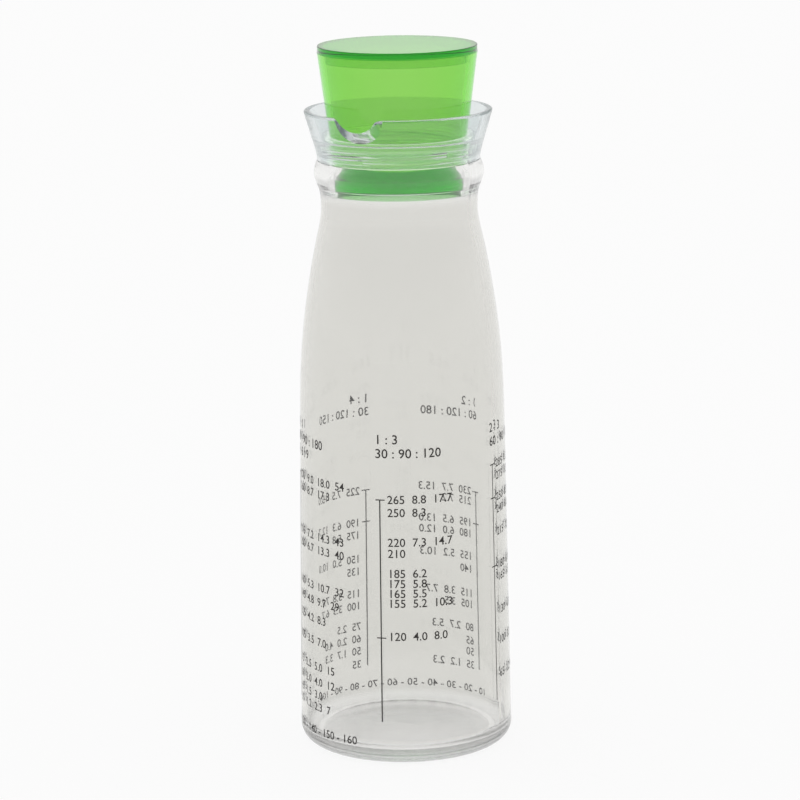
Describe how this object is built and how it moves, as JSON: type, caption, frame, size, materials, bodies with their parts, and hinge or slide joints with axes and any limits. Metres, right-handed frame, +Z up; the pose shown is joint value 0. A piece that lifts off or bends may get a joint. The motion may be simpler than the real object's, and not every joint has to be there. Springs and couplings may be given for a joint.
{
  "type": "salad dressing shaker bottle",
  "caption": "Clear round shaker bottle with a waisted neck, a screw-on flared pour collar with a pouring notch, and a hollow tapered stopper with a soft sealing sleeve.",
  "frame": {"origin": "middle of the foot, on the surface that the bottle stands on", "axes": "+Z up along the bottle's axis, the pouring notch points along -Y"},
  "size_m": [0.0687, 0.0686, 0.2264],
  "materials": {
    "clear_body": "clear moulded plastic",
    "clear_collar": "clear polished moulded plastic",
    "silicone": "translucent silicone",
    "silicone_sleeve": "translucent silicone",
    "green_stopper": "transparent green moulded plastic",
    "green_lid": "transparent green moulded plastic"
  },
  "bodies": {
    "bottle": {"bottle": "clear_body"},
    "gasket": {"collar_gasket": "silicone"},
    "collar": {"pour_collar": "clear_collar"},
    "stopper": {"stopper_cup": "green_stopper", "stopper_lid": "green_lid", "stopper_sleeve": "silicone_sleeve"}
  },
  "joints": [
    {"name": "collar_rise", "type": "slide", "parent": "bottle", "child": "gasket", "axis": [0, 0, 1], "range_m": [0, 0.004]},
    {"name": "collar_turn", "type": "hinge", "parent": "gasket", "child": "collar", "pos_m": [0, 0, 0.193], "axis": [0, 0, 1], "range_deg": [0, 360]},
    {"name": "stopper_lift", "type": "slide", "parent": "collar", "child": "stopper", "axis": [0, 0, 1], "range_m": [0, 0.06]}
  ],
  "couplings": [
    {"joint": "collar_rise", "follows": "collar_turn", "m_per_rad": 0.00063662}
  ]
}
